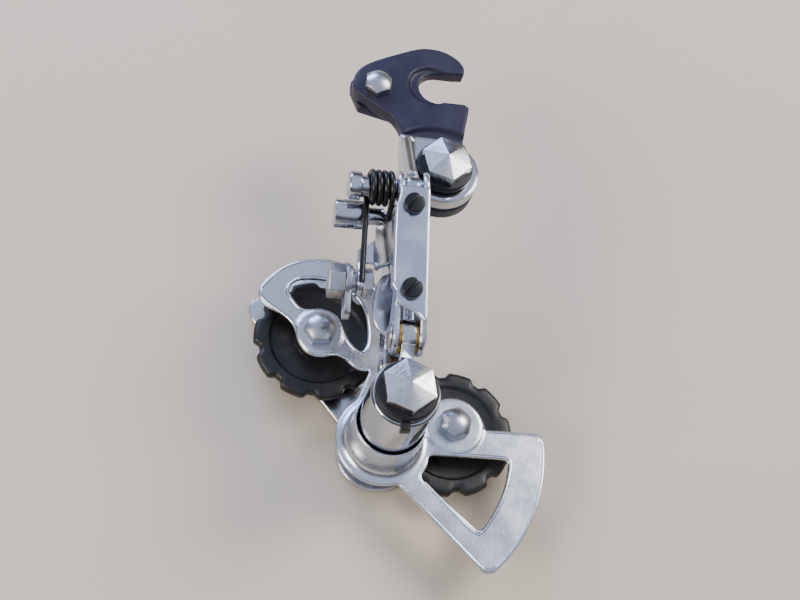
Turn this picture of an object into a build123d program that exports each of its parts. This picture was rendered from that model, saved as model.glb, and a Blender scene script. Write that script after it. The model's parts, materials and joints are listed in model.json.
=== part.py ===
"""Rear bicycle derailleur with a claw hanger, as separate pieces.

Millimetres. The origin is the wheel axle's centre in the claw slot, on the claw's inboard face.
+Z points outboard, away from the wheel, +X points forwards and +Y up the bicycle.
"""
import os
from math import atan2, cos, hypot, radians, sin, sqrt

from build123d import *

os.makedirs("parts", exist_ok=True)

# ---------------------------------------------------------------- driving dimensions
axle_slot_radius = 5.15  # the slot takes a 10 mm wheel axle
claw_thickness = 4.0
pivot_drop = 31.9  # wheel axle centre down to the hanger pivot
link_offset_x = -10.3  # the cage pivot lies behind the hanger pivot
link_drop = 65.6  # hanger pivot down to the cage pivot

sheet = 1.5  # thickness of the pressed steel
fit = 0.02  # radial gap of two pieces fixed together
run = 0.05  # radial gap of a running fit

# ---------------------------------------------------------------- pivots
hanger_pivot = (0.0, -pivot_drop)
cage_pivot = (link_offset_x, -pivot_drop - link_drop)

# the four linkage pins run along X: (y, z) of the outer pair, and the step to the inner pair
upper_pin = (hanger_pivot[1] - 11.5, 14.0)
lower_pin = (cage_pivot[1] + 15.5, 7.3)
inner_step = (-2.8, -13.2)
link_angle = atan2(upper_pin[1] - lower_pin[1], upper_pin[0] - lower_pin[0])
link_length = hypot(upper_pin[0] - lower_pin[0], upper_pin[1] - lower_pin[1])
pin_radius = 2.0
inner_pin_radius = 1.75

# the linkage's stations along X
tongue_left = -11.7
tongue_right = -8.3
wall_left = -14.0  # outer face of the links' left walls
wall_right = -6.0  # outer face of the links' right walls

# ---------------------------------------------------------------- heights of the two pivot bolts
bracket_bottom = claw_thickness + 0.3
bracket_top = 8.6
washer_bottom = bracket_top + 0.1
washer_top = washer_bottom + 2.2
hex_top = washer_top + 3.3
hex_apex = hex_top + 1.8
hex_flats = 12.0
hex_radius = hex_flats / sqrt(3)
pivot_shank_radius = 4.0
pivot_washer_radius = 7.8

# ---------------------------------------------------------------- cage
pulley_radius = 18.0  # over the tooth tips
pulley_teeth = 10
pulley_width = 3.4  # over the teeth
hub_width = 7.6
pulley_middle = -31.0
plate_gap = 9.6  # between the two cage plates
outer_plate_top = pulley_middle + plate_gap / 2 + sheet
inner_plate_top = pulley_middle - plate_gap / 2
guide_centre = (cage_pivot[0] + 19.8, cage_pivot[1] + 5.0)
tension_centre = (cage_pivot[0] - 17.9, cage_pivot[1] + 30.4)
fan_radius = 45.5
window_radius = 35.4
fan_angle = -43.6  # direction of the fan's lower strap
flange_radius = 12.8
cup_radius = 9.75
cup_rim = -10.6
barrel_radius = 8.65
barrel_bore = 7.2
barrel_end = outer_plate_top + 2.2


def about(point, step_x, step_y):
    """A point stepped from a pivot, in the XY plane."""
    return (point[0] + step_x, point[1] + step_y)


def side_plane(x, pin):
    """Plane facing +X at station x: local x runs up the bicycle, local y outboard, from a pin."""
    return Plane(origin=(x, pin[0], pin[1]), x_dir=(0, 1, 0), z_dir=(1, 0, 0))


def link_side(x, pin):
    """As side_plane, but turned so that local x runs along the link."""
    along = (0, cos(link_angle), sin(link_angle))
    return Plane(origin=(x, pin[0], pin[1]), x_dir=along, z_dir=(1, 0, 0))


def link_face(height, pin):
    """Plane of a link's web: local x is +X, local y runs up the link, height is above the pin line."""
    outward = (0, -sin(link_angle), cos(link_angle))
    face = Plane(origin=(0, pin[0], pin[1]), x_dir=(1, 0, 0), z_dir=outward)
    return face.offset(height)


def link_cross(along, pin):
    """Plane across the link: local x is +X, local y is height above the pin line, at a station along it."""
    down = (0, -cos(link_angle), -sin(link_angle))
    place = (0, pin[0] + along * cos(link_angle), pin[1] + along * sin(link_angle))
    return Plane(origin=place, x_dir=(1, 0, 0), z_dir=down)


upper_inner_pin_at = (upper_pin[0] + inner_step[0], upper_pin[1] + inner_step[1])
lower_inner_pin_at = (lower_pin[0] + inner_step[0], lower_pin[1] + inner_step[1])

# ================================================================ hanger
recess_outer = 17.6
recess_floor = 2.6
boss_radius = 10.1

with BuildPart() as claw_hanger:
    with BuildSketch():
        with BuildLine():
            jaw = Spline(
                (8.0, 5.5),
                (8.3, 7.6),
                (4.5, 12.2),
                (-3.5, 13.6),
                (-11.0, 10.6),
                (-17.5, 7.2),
                (-23.3, 2.2),
                (-24.4, -2.2),
                (-22.0, -6.2),
            )
            Line(jaw @ 1, (-14.6, -11.2))
            neck = Spline((-14.6, -11.2), (-11.2, -15.0), (-9.9, -21.0), (-boss_radius, hanger_pivot[1]))
            ThreePointArc(neck @ 1, (0, hanger_pivot[1] - boss_radius), (boss_radius, hanger_pivot[1]))
            Spline((boss_radius, hanger_pivot[1]), (8.0, -23.0), (7.6, -16.5), (8.9, -9.0), (9.3, -6.3))
            Line((9.3, -6.3), (8.1, -axle_slot_radius))
            Line((8.1, -axle_slot_radius), (0, -axle_slot_radius))
            ThreePointArc((0, -axle_slot_radius), (-axle_slot_radius, 0), (0, axle_slot_radius))
            Line((0, axle_slot_radius), (8.0, 5.5))
        make_face()
    extrude(amount=claw_thickness)
    # seat sunk round the hanger pivot, so that the knuckle can swing
    with BuildSketch(Plane.XY.offset(claw_thickness)):
        with Locations(hanger_pivot):
            Circle(recess_outer)
            Circle(boss_radius, mode=Mode.SUBTRACT)
    extrude(amount=recess_floor - claw_thickness, taper=38, mode=Mode.SUBTRACT)
    # crescent seat for the axle nut at the closed end of the slot
    with BuildSketch(Plane.XY.offset(claw_thickness)):
        with Locations((-1.9, 0)):
            Circle(6.4)
    extrude(amount=-0.9, mode=Mode.SUBTRACT)
    # bores for the hanger bolt and the claw bolt
    with Locations((hanger_pivot[0], hanger_pivot[1], claw_thickness)):
        Hole(pivot_shank_radius + fit)
    with Locations((-17.4, -2.4, claw_thickness)):
        Hole(2.5 + fit)
claw_hanger.part.label = "claw_hanger"
export_step(claw_hanger.part, "parts/claw_hanger.step")

claw_bolt_at = (-17.4, -2.4)
with BuildPart() as claw_bolt:
    with BuildSketch(Plane.XY.offset(claw_thickness + 0.05)):
        with Locations(claw_bolt_at):
            RegularPolygon(4.15, 6, rotation=25)
    extrude(amount=5)
    with Locations((*claw_bolt_at, claw_thickness + 3.5 - 6.2)):
        Sphere(6.2, mode=Mode.INTERSECT)
    with BuildSketch(Plane.XY.offset(-2.9)):
        with Locations(claw_bolt_at):
            Circle(2.5)
    extrude(amount=2.95 + claw_thickness)
claw_bolt.part.label = "claw_bolt"
export_step(claw_bolt.part, "parts/claw_bolt.step")

with BuildPart() as claw_nut_plate:
    with BuildSketch(Plane.XY.offset(-0.05)):
        with BuildLine():
            Polyline(
                (-24.6, 1.6),
                (-24.6, -1.2),
                (-22.2, -7.2),
                (-18.2, -8.2),
                (-12.5, -9.6),
                (-9.2, -4.0),
                (-9.2, 4.0),
                (-18.0, 5.4),
                close=True,
            )
        make_face()
        fillet(vertices(), 1.2)
    extrude(amount=-3.0)
    with Locations((claw_bolt_at[0], claw_bolt_at[1], 0)):
        Hole(2.5 + fit)
claw_nut_plate.part.label = "claw_nut_plate"
export_step(claw_nut_plate.part, "parts/claw_nut_plate.step")


def pivot_bolt_head(centre, turn):
    """Hexagon cap with a low six-sided point, added to the current part."""
    with BuildSketch(Plane.XY.offset(washer_top + 0.05)) as prism:
        with Locations(centre):
            RegularPolygon(hex_radius, 6, rotation=turn)
    extrude(prism.sketch, amount=hex_top - washer_top - 0.05)
    with BuildSketch(Plane.XY.offset(hex_top)) as foot:
        with Locations(centre):
            RegularPolygon(hex_radius, 6, rotation=turn)
    with BuildSketch(Plane.XY.offset(hex_apex)) as tip:
        with Locations(centre):
            RegularPolygon(0.12, 6, rotation=turn)
    loft([foot.sketch, tip.sketch], ruled=True)


with BuildPart() as hanger_bolt:
    pivot_bolt_head(hanger_pivot, 43)
    with BuildSketch(Plane.XY.offset(0.1)):
        with Locations(hanger_pivot):
            Circle(pivot_shank_radius)
    extrude(amount=washer_top)
hanger_bolt.part.label = "hanger_bolt"
export_step(hanger_bolt.part, "parts/hanger_bolt.step")

with BuildPart() as hanger_bolt_washer:
    with BuildSketch(Plane.XY.offset(washer_bottom)):
        with Locations(hanger_pivot):
            Circle(pivot_washer_radius)
            Circle(pivot_shank_radius + fit, mode=Mode.SUBTRACT)
    extrude(amount=washer_top - washer_bottom)
    chamfer(hanger_bolt_washer.edges().filter_by(GeomType.CIRCLE).sort_by(SortBy.RADIUS)[-2:], 0.35)
hanger_bolt_washer.part.label = "hanger_bolt_washer"
export_step(hanger_bolt_washer.part, "parts/hanger_bolt_washer.step")

# ================================================================ upper knuckle
ear_radius = 4.1
inner_ear_radius = 3.3
stop_step = (-3.6, -8.3)  # cable stop from the upper outer pin
stop_spigot = 1.6
stop_radius = 3.85

with BuildPart() as upper_knuckle:
    # base plate round the hanger bolt
    with BuildSketch(Plane.XY.offset(bracket_bottom)):
        with Locations(hanger_pivot):
            Circle(10.0)
        with Locations(about(hanger_pivot, tongue_left / 2, 0.3)):
            Rectangle(-tongue_left, 19.8)
    extrude(amount=bracket_top - bracket_bottom)
    # ear that carries both upper pins
    with BuildSketch(side_plane(tongue_left, upper_pin)):
        with BuildLine():
            FilletPolyline(
                (22.2, -9.7),
                (22.2, -4.6),
                (19.6, -5.2),
                (0.0, ear_radius),
                radius=1.4,
            )
            Line((0.0, ear_radius), (0.0, -9.7))
            Line((0.0, -9.7), (22.2, -9.7))
        make_face()
        Circle(ear_radius)
        with Locations(inner_step):
            Circle(inner_ear_radius)
        with Locations(stop_step):
            Circle(3.0)
        with BuildLine():
            Polyline(
                (-ear_radius, 0),
                (ear_radius, 0),
                (inner_step[0] + inner_ear_radius, inner_step[1]),
                (inner_step[0] - inner_ear_radius, inner_step[1]),
                close=True,
            )
        make_face()
        Circle(pin_radius + run, mode=Mode.SUBTRACT)
        with Locations(inner_step):
            Circle(inner_pin_radius + 0.12, mode=Mode.SUBTRACT)
        with Locations(stop_step):
            Circle(stop_spigot + fit, mode=Mode.SUBTRACT)
    extrude(amount=tongue_right - tongue_left)
    with Locations((hanger_pivot[0], hanger_pivot[1], bracket_top)):
        Hole(pivot_shank_radius + run)
upper_knuckle.part.label = "upper_knuckle"
export_step(upper_knuckle.part, "parts/upper_knuckle.step")

stop_at = (upper_pin[0] + stop_step[0], upper_pin[1] + stop_step[1])
with BuildPart() as cable_stop:
    with BuildSketch(side_plane(tongue_right - 0.2, stop_at)):
        Circle(stop_spigot)
    extrude(amount=-8.0)
    with BuildSketch(side_plane(-15.9, stop_at)):
        Circle(2.4)
    extrude(amount=-4.4)
    with BuildSketch(side_plane(-20.1, stop_at)):
        Circle(stop_radius)
    extrude(amount=-8.7)
    # cross bore for the end of the cable housing, stepped down to the cable
    with BuildSketch(Plane(origin=(-24.6, stop_at[0], stop_at[1]), x_dir=(1, 0, 0), z_dir=(0, 1, 0))):
        Circle(0.9)
    extrude(amount=5, both=True, mode=Mode.SUBTRACT)
    with BuildSketch(Plane(origin=(-24.6, stop_at[0] - 0.6, stop_at[1]), x_dir=(1, 0, 0), z_dir=(0, 1, 0))):
        Circle(2.35)
    extrude(amount=6, mode=Mode.SUBTRACT)
cable_stop.part.label = "cable_stop"
export_step(cable_stop.part, "parts/cable_stop.step")

# ================================================================ linkage
web_height = 6.0  # outer face of the outer link's web above its pin line
wall_depth = -5.0
lug_at = (-24.5, -5.0)  # cable anchor hole along the link and above the pin line

with BuildPart() as outer_link:
    # web, with its S-shaped lower edge
    with BuildSketch(link_face(web_height, upper_pin)):
        with BuildLine():
            FilletPolyline(
                (wall_left, -1.0),
                (wall_right, -1.0),
                (wall_right, -link_length + 2.3),
                (wall_right - 2.4, -link_length + 4.9),
                (wall_left, -link_length + 7.2),
                (wall_left, -link_length + 10.0),
                (wall_left - 1.0, -link_length + 11.5),
                (wall_left - 1.0, -6.5),
                (wall_left, -5.0),
                radius=0.5,
                close=True,
            )
        make_face()
    extrude(amount=-sheet)
    # right wall with both ears
    with BuildSketch(link_side(wall_right, upper_pin)):
        with BuildLine():
            Polyline(
                (0, web_height - 1.0),
                (0, wall_depth),
                (-link_length, -4.6),
                (-link_length, 4.8),
                (-link_length + 3, web_height - 0.5),
                close=True,
            )
        make_face()
        Circle(5.2)
        with Locations((-link_length, 0)):
            Circle(4.8)
            Circle(pin_radius + fit, mode=Mode.SUBTRACT)
        Circle(pin_radius + fit, mode=Mode.SUBTRACT)
        with Locations((0, web_height + 1.0)):
            Rectangle(30, 2, mode=Mode.SUBTRACT)
    extrude(amount=-sheet)
    # left wall, cut away between its tab and the lower ear
    with BuildSketch(link_side(wall_left, upper_pin)):
        with BuildLine():
            Polyline(
                (0, web_height - 1.0),
                (0, wall_depth + 0.6),
                (-8, wall_depth),
                (-21.5, wall_depth),
                (-23.0, 0.5),
                (-29.0, 0.5),
                (-link_length, -4.4),
                (-link_length, 4.6),
                (-link_length + 8, web_height - 1.0),
                close=True,
            )
        make_face()
        Circle(4.9)
        with Locations((-link_length, 0)):
            Circle(4.6)
            Circle(pin_radius + fit, mode=Mode.SUBTRACT)
        Circle(pin_radius + fit, mode=Mode.SUBTRACT)
        with Locations((0, web_height + 1.0)):
            Rectangle(30, 2, mode=Mode.SUBTRACT)
    extrude(amount=sheet)
    # side that slopes outwards below the web's shoulder
    with BuildSketch(link_cross(-9.6, upper_pin)):
        with BuildLine():
            Polyline(
                (wall_left + 0.4, web_height),
                (wall_left - 1.0, web_height),
                (wall_left - 1.0, 3.0),
                (-18.3, wall_depth + 1.8),
                (-18.3, wall_depth),
                (-17.0, wall_depth),
                (-17.0, wall_depth + 1.5),
                (wall_left + 0.4, 2.0),
                close=True,
            )
        make_face()
    extrude(amount=11.4)
    # shoulder above and below it
    with BuildSketch(link_side(wall_left - 1.0, upper_pin)):
        with BuildLine():
            Polyline(
                (-6.0, web_height - 1.4),
                (-link_length + 11.0, web_height - 1.4),
                (-link_length + 11.0, 3.0),
                (-6.0, 3.0),
                close=True,
            )
        make_face()
    extrude(amount=1.2)
    # foot that reaches out to the cable anchor's lug
    with BuildSketch(link_face(wall_depth + sheet, upper_pin)):
        with BuildLine():
            Polyline(
                (-17.2, -12.5),
                (-18.2, -13.0),
                (-22.6, -16.5),
                (-22.6, -19.4),
                (-17.2, -19.4),
                close=True,
            )
        make_face()
    extrude(amount=-sheet)
    # lug drilled for the anchor bolt
    with BuildSketch(link_side(-22.6, upper_pin)):
        with BuildLine():
            Polyline(
                (-15.5, wall_depth),
                (-15.5, wall_depth + sheet),
                (-19.5, wall_depth + sheet),
                (lug_at[0], lug_at[1] + 3.7),
                (lug_at[0], lug_at[1] - 3.7),
                (-20.5, wall_depth - 1.5),
                close=True,
            )
        make_face()
        with Locations(lug_at):
            Circle(3.7)
            Circle(2.5 + fit, mode=Mode.SUBTRACT)
    extrude(amount=sheet)
    # holes for the two limit screws
    with BuildSketch(link_face(web_height, upper_pin)):
        with Locations((-10.2, -6.1), (-10.2, -28.6)):
            Circle(1.5 + fit)
    extrude(amount=-sheet, mode=Mode.SUBTRACT)
outer_link.part.label = "outer_link"
export_step(outer_link.part, "parts/outer_link.step")

inner_web = -4.9  # outer (inboard) face of the inner link's web
with BuildPart() as inner_link:
    with BuildSketch(link_face(inner_web, upper_inner_pin_at)):
        with BuildLine():
            FilletPolyline(
                (wall_left, -1.5),
                (wall_right, -1.5),
                (wall_right, -link_length + 1.5),
                (wall_left, -link_length + 1.5),
                radius=1.2,
                close=True,
            )
        make_face()
    extrude(amount=sheet)
    with BuildSketch(link_side(wall_right, upper_inner_pin_at)):
        with BuildLine():
            Polyline(
                (0, -3.2),
                (0, 3.2),
                (-4, 1.6),
                (-link_length + 5, 3.0),
                (-link_length, 3.6),
                (-link_length, -3.6),
                (-link_length, inner_web + 0.2),
                (-1.5, inner_web + 0.2),
                close=True,
            )
        make_face()
        Circle(3.2)
        with Locations((-link_length, 0)):
            Circle(3.8)
            Circle(inner_pin_radius + fit, mode=Mode.SUBTRACT)
        Circle(inner_pin_radius + fit, mode=Mode.SUBTRACT)
    extrude(amount=-sheet)
    # left wall with its deep apron beside the lower knuckle
    with BuildSketch(link_side(wall_left, upper_inner_pin_at)):
        with BuildLine():
            Polyline(
                (0, -3.2),
                (0, 3.2),
                (-4, 1.0),
                (-11, 1.0),
                (-16, 5.9),
                (-31, 5.9),
                (-35, 3.6),
                (-link_length, 3.6),
                (-link_length, inner_web + 0.2),
                (-1.5, inner_web + 0.2),
                close=True,
            )
        make_face()
        Circle(3.2)
        with Locations((-link_length, 0)):
            Circle(3.8)
            Circle(inner_pin_radius + fit, mode=Mode.SUBTRACT)
        Circle(inner_pin_radius + fit, mode=Mode.SUBTRACT)
    extrude(amount=sheet)
    # wing bent outwards along the left wall's top
    with BuildSketch(link_face(5.9, upper_inner_pin_at)):
        with BuildLine():
            Spline(
                (wall_left + 0.6, -15.8),
                (-15.6, -16.6),
                (-17.2, -20.0),
                (-17.7, -25.0),
                (-16.8, -30.0),
                (wall_left + 0.6, -32.4),
            )
            Line((wall_left + 0.6, -32.4), (wall_left + 0.6, -15.8))
        make_face()
    extrude(amount=-sheet)
inner_link.part.label = "inner_link"
export_step(inner_link.part, "parts/inner_link.step")

with BuildPart() as upper_outer_pin:
    with BuildSketch(side_plane(-26.5, upper_pin)):
        Circle(3.7)
    extrude(amount=3.3)
    with BuildSketch(side_plane(-23.2, upper_pin)):
        Circle(2.85)
    extrude(amount=23.2 + wall_left - 0.1)
    with BuildSketch(side_plane(-15.0, upper_pin)):
        Circle(pin_radius)
    extrude(amount=15.0 + wall_right + 0.1)
    with BuildSketch(side_plane(wall_right + 0.05, upper_pin)):
        Circle(2.8)
    extrude(amount=0.7, taper=35)
    chamfer(upper_outer_pin.edges().filter_by(GeomType.CIRCLE).sort_by(Axis.X)[0], 0.4)
upper_outer_pin.part.label = "upper_outer_pin"
export_step(upper_outer_pin.part, "parts/upper_outer_pin.step")


def riveted_pin(centre, radius, head_radius):
    """Plain pin across a link, headed over at both walls, added to the current part."""
    with BuildSketch(side_plane(wall_left - 0.1, centre)) as shank:
        Circle(radius)
    extrude(shank.sketch, amount=wall_right - wall_left + 0.2)
    for face, way in ((wall_left - 0.05, -0.7), (wall_right + 0.05, 0.7)):
        with BuildSketch(side_plane(face, centre)) as head:
            Circle(head_radius)
        extrude(head.sketch, amount=way, taper=35)


with BuildPart() as lower_outer_pin:
    riveted_pin(lower_pin, pin_radius, 2.8)
lower_outer_pin.part.label = "lower_outer_pin"
export_step(lower_outer_pin.part, "parts/lower_outer_pin.step")

with BuildPart() as upper_inner_pin:
    riveted_pin(upper_inner_pin_at, inner_pin_radius, 2.4)
upper_inner_pin.part.label = "upper_inner_pin"
export_step(upper_inner_pin.part, "parts/upper_inner_pin.step")

with BuildPart() as lower_inner_pin:
    riveted_pin(lower_inner_pin_at, inner_pin_radius, 2.4)
lower_inner_pin.part.label = "lower_inner_pin"
export_step(lower_inner_pin.part, "parts/lower_inner_pin.step")


def washer_pair(centre, hole, rim):
    """Two thin washers, one each side of a tongue, added to the current part."""
    for start in (wall_left + sheet + 0.05, tongue_right + 0.05):
        with BuildSketch(side_plane(start, centre)) as ring:
            Circle(rim)
            Circle(hole, mode=Mode.SUBTRACT)
        extrude(ring.sketch, amount=0.7)


with BuildPart() as upper_washers:
    washer_pair(upper_pin, pin_radius + run, 3.4)
    washer_pair(upper_inner_pin_at, inner_pin_radius + run, 3.2)
upper_washers.part.label = "upper_washers"

export_step(upper_washers.part, "parts/upper_washers.step")

with BuildPart() as lower_washers:
    washer_pair(lower_pin, pin_radius + run, 4.3)
    washer_pair(lower_inner_pin_at, inner_pin_radius + run, 3.2)
lower_washers.part.label = "lower_washers"
export_step(lower_washers.part, "parts/lower_washers.step")

# ================================================================ limit screws
screw_seat = web_height + 0.05


def limit_screw(along):
    """Slotted cheese-head screw through the outer link's web, added to the current part."""
    with BuildSketch(link_face(screw_seat, upper_pin)) as head:
        with Locations((-10.2, along)):
            Circle(2.65)
    extrude(head.sketch, amount=1.7)
    with BuildSketch(link_face(screw_seat, upper_pin)) as shank:
        with Locations((-10.2, along)):
            Circle(1.5)
    extrude(shank.sketch, amount=-6.4)
    with BuildSketch(link_face(screw_seat + 1.7, upper_pin)) as slot:
        with Locations((-10.2, along)):
            Rectangle(0.8, 6, rotation=-35)
    extrude(slot.sketch, amount=-0.8, mode=Mode.SUBTRACT)


with BuildPart() as high_limit_screw:
    limit_screw(-6.1)
high_limit_screw.part.label = "high_limit_screw"
export_step(high_limit_screw.part, "parts/high_limit_screw.step")

with BuildPart() as low_limit_screw:
    limit_screw(-28.6)
low_limit_screw.part.label = "low_limit_screw"
export_step(low_limit_screw.part, "parts/low_limit_screw.step")

# ================================================================ cable anchor
with BuildPart() as cable_anchor_bolt:
    with BuildSketch(link_side(-29.8, upper_pin)):
        with Locations(lug_at):
            RegularPolygon(8 / sqrt(3), 6, rotation=20)
    extrude(amount=4.1)
    with BuildSketch(link_side(-25.8, upper_pin)):
        with Locations(lug_at):
            Circle(2.5)
    extrude(amount=7.6)
    chamfer(cable_anchor_bolt.edges().filter_by(GeomType.CIRCLE).sort_by(Axis.X)[-1], 0.4)
cable_anchor_bolt.part.label = "cable_anchor_bolt"
export_step(cable_anchor_bolt.part, "parts/cable_anchor_bolt.step")

with BuildPart() as cable_clamp_plate:
    with BuildSketch(link_side(-25.6, upper_pin)):
        with Locations(lug_at):
            Circle(4.9)
            with Locations((-3.4, 0)):
                Rectangle(6.8, 6.4)
            with Locations((-6.8, 0)):
                Circle(3.2)
            Circle(2.5 + fit, mode=Mode.SUBTRACT)
    extrude(amount=1.6)
    # groove that holds the cable under the plate
    with BuildSketch(link_side(-24.0, upper_pin)):
        with Locations((lug_at[0], lug_at[1] + 3.2)):
            Rectangle(24, 1.2)
    extrude(amount=-0.6, mode=Mode.SUBTRACT)
    with BuildSketch(link_side(-24.0, upper_pin)):
        with Locations(lug_at):
            Circle(2.9)
            Circle(2.5 + fit, mode=Mode.SUBTRACT)
    extrude(amount=1.3)
cable_clamp_plate.part.label = "cable_clamp_plate"
export_step(cable_clamp_plate.part, "parts/cable_clamp_plate.step")

with BuildPart() as anchor_nut:
    with BuildSketch(link_side(-21.0, upper_pin)):
        with Locations(lug_at):
            RegularPolygon(7 / sqrt(3), 6, rotation=10)
            Circle(2.5 + fit, mode=Mode.SUBTRACT)
    extrude(amount=2.4)
anchor_nut.part.label = "anchor_nut"
export_step(anchor_nut.part, "parts/anchor_nut.step")

# ================================================================ lower knuckle
tongue_disc = 4.4
inner_tongue_disc = 3.2

with BuildPart() as lower_knuckle:
    # barrel that houses the cage spring
    with BuildSketch(Plane.XY.offset(barrel_end)):
        with Locations(cage_pivot):
            Circle(barrel_radius)
    extrude(amount=bracket_top - barrel_end)
    chamfer(lower_knuckle.edges().filter_by(GeomType.CIRCLE).sort_by(Axis.Z)[-1], 0.5)
    # tongue between the links
    with BuildSketch(side_plane(tongue_left, lower_pin)):
        Circle(tongue_disc)
        with Locations(inner_step):
            Circle(inner_tongue_disc)
        with BuildLine():
            Polyline(
                (-11.0, -3.0),
                (-3.4, 2.9),
                (tongue_disc, 0),
                (inner_step[0] + inner_tongue_disc, inner_step[1]),
                (inner_step[0], inner_step[1] - inner_tongue_disc),
                (-11.0, inner_step[1] - inner_tongue_disc),
                close=True,
            )
        make_face()
        Circle(pin_radius + run, mode=Mode.SUBTRACT)
        with Locations(inner_step):
            Circle(inner_pin_radius + run, mode=Mode.SUBTRACT)
    extrude(amount=tongue_right - tongue_left)
    # spring room and the pivot bore
    with BuildSketch(Plane.XY.offset(barrel_end)):
        with Locations(cage_pivot):
            Circle(barrel_bore)
    extrude(amount=bracket_top - 2.6 - barrel_end, mode=Mode.SUBTRACT)
    with Locations((cage_pivot[0], cage_pivot[1], bracket_top)):
        Hole(pivot_shank_radius + run)
lower_knuckle.part.label = "lower_knuckle"
export_step(lower_knuckle.part, "parts/lower_knuckle.step")

bolt_end = outer_plate_top - sheet + 0.1
with BuildPart() as cage_pivot_bolt:
    pivot_bolt_head(cage_pivot, 37.6)
    with BuildSketch(Plane.XY.offset(bolt_end)):
        with Locations(cage_pivot):
            Circle(pivot_shank_radius)
    extrude(amount=washer_top + 0.1 - bolt_end)
cage_pivot_bolt.part.label = "cage_pivot_bolt"
export_step(cage_pivot_bolt.part, "parts/cage_pivot_bolt.step")

with BuildPart() as cage_bolt_washer:
    with BuildSketch(Plane.XY.offset(washer_bottom)):
        with Locations(cage_pivot):
            Circle(pivot_washer_radius)
    extrude(amount=washer_top - washer_bottom)
    chamfer(cage_bolt_washer.edges().filter_by(GeomType.CIRCLE).sort_by(Axis.Z)[-1], 0.35)
    # tab bent down over the barrel
    with BuildSketch(Plane.XY.offset(washer_bottom)):
        with Locations(about(cage_pivot, -0.3, -8.0)):
            Rectangle(2.4, 2.8)
    extrude(amount=0.8)
    with BuildSketch(Plane.XY.offset(washer_bottom + 0.8)):
        with Locations(about(cage_pivot, -0.3, -9.4)):
            Rectangle(2.4, 0.9)
    extrude(amount=-2.6)
    with BuildSketch(Plane.XY.offset(washer_top)):
        with Locations(cage_pivot):
            Circle(pivot_shank_radius + run)
    extrude(amount=-8, mode=Mode.SUBTRACT)
cage_bolt_washer.part.label = "cage_bolt_washer"
export_step(cage_bolt_washer.part, "parts/cage_bolt_washer.step")

# ================================================================ cage
loop_outer = (
    (-3.5, 20.0),
    (-9.5, 21.6),
    (-12.3, 23.6),
    (-16.3, 22.9),
    (-20.2, 23.1),
    (-23.9, 27.0),
    (-25.8, 32.6),
    (-30.0, 35.4),
    (-34.8, 38.6),
    (-35.7, 41.0),
    (-34.8, 43.8),
    (-30.0, 49.3),
    (-26.0, 51.8),
    (-21.6, 53.2),
    (-15.8, 53.5),
    (-8.2, 51.3),
    (-2.0, 46.5),
    (1.0, 39.5),
    (1.5, 31.0),
    (0.0, 24.5),
)
loop_inner = (
    (-6.6, 24.8),
    (-9.6, 28.0),
    (-11.5, 32.7),
    (-13.2, 35.7),
    (-16.2, 37.2),
    (-19.4, 37.4),
    (-23.0, 36.8),
    (-25.4, 39.2),
    (-27.5, 42.6),
    (-25.4, 45.6),
    (-21.4, 46.7),
    (-15.6, 46.6),
    (-9.4, 43.6),
    (-5.6, 38.6),
    (-4.4, 31.6),
    (-4.8, 26.6),
)
window_top = -3.6
window_left = 12.6


def arc_point(radius, angle):
    """A point about the cage pivot at a radius and an angle in degrees."""
    turn = radians(angle)
    return about(cage_pivot, radius * cos(turn), radius * sin(turn))


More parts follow.
